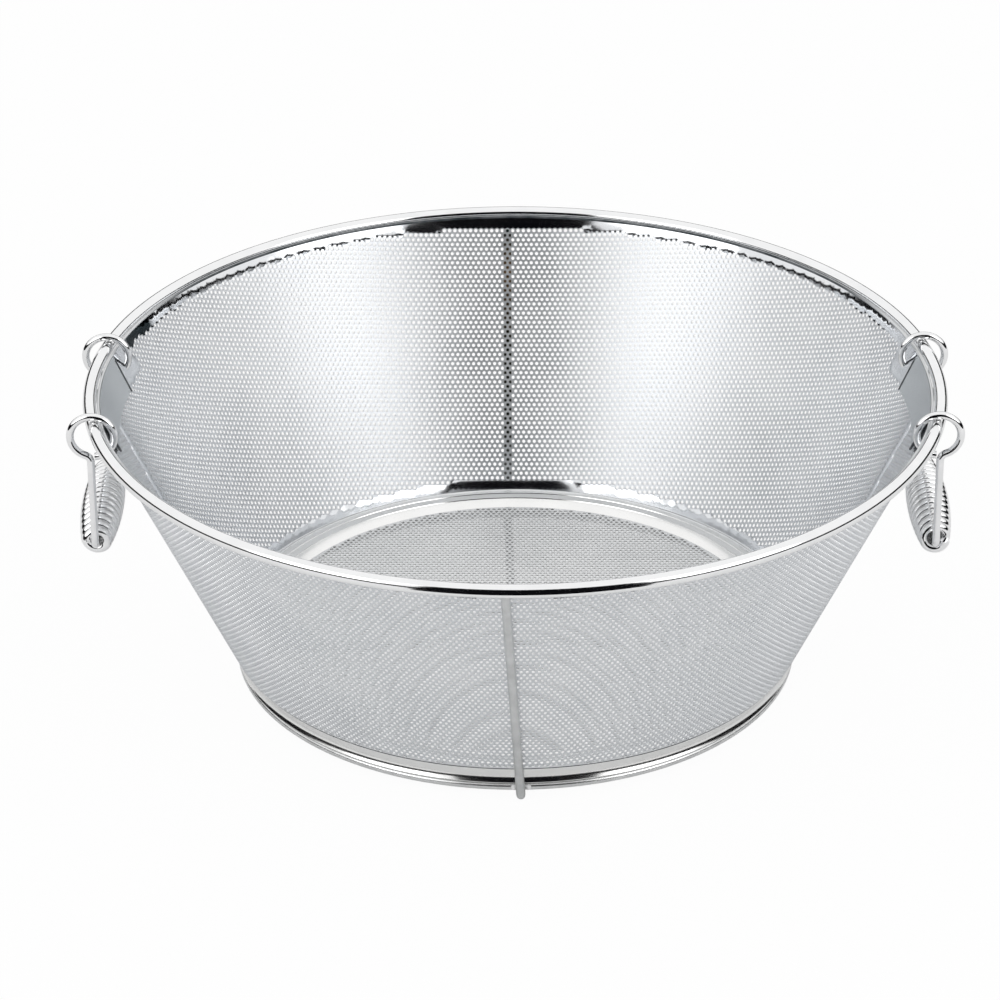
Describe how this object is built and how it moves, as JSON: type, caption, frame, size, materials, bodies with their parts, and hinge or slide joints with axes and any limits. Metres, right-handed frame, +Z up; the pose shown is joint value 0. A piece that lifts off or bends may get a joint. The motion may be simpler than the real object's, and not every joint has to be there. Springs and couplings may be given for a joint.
{
  "type": "perforated strainer basket",
  "caption": "Round strainer basket of punched stainless sheet on crossed support wires, with swinging spring-grip bail handles at the sides.",
  "frame": {"origin": "on the basket's upright axis, at the level of the surface that it stands on", "axes": "+Z up out of the mouth, +X through the right handle, -Y towards the viewer of the picture"},
  "size_m": [0.4612, 0.45, 0.1689],
  "materials": {
    "rim_steel": "polished tube",
    "punched_sheet": "bright punched sheet",
    "base_sheet": "bright pressed sheet",
    "ring_wire": "polished wire",
    "support_wire": "drawn wire, satin",
    "plate_sheet": "plain rolled sheet, satin",
    "bail_wire": "polished wire",
    "grip_wire": "polished spring wire"
  },
  "bodies": {
    "basket": {"rim_tube": "rim_steel", "wall_rear": "punched_sheet", "wall_front": "punched_sheet", "base_disc": "base_sheet", "base_ring": "ring_wire", "support_wire_front_back": "support_wire", "support_wire_left_right": "support_wire", "handle_plate_left": "plate_sheet", "handle_plate_right": "plate_sheet"},
    "left_bail": {"bail_left": "bail_wire"},
    "right_bail": {"bail_right": "bail_wire"},
    "left_grip": {"grip_left": "grip_wire"},
    "right_grip": {"grip_right": "grip_wire"}
  },
  "joints": [
    {"name": "left_bail_swing", "type": "hinge", "parent": "basket", "child": "left_bail", "pos_m": [-0.21721, 0, 0.15556], "axis": [0, 1, 0], "range_deg": [-11, 240]},
    {"name": "right_bail_swing", "type": "hinge", "parent": "basket", "child": "right_bail", "pos_m": [0.21721, 0, 0.15556], "axis": [0, -1, 0], "range_deg": [-11, 240]},
    {"name": "left_grip_spin", "type": "hinge", "parent": "left_bail", "child": "left_grip", "pos_m": [-0.21851, 0, 0.09106], "axis": [0, 1, 0], "continuous": true},
    {"name": "right_grip_spin", "type": "hinge", "parent": "right_bail", "child": "right_grip", "pos_m": [0.21851, 0, 0.09106], "axis": [0, -1, 0], "continuous": true}
  ]
}
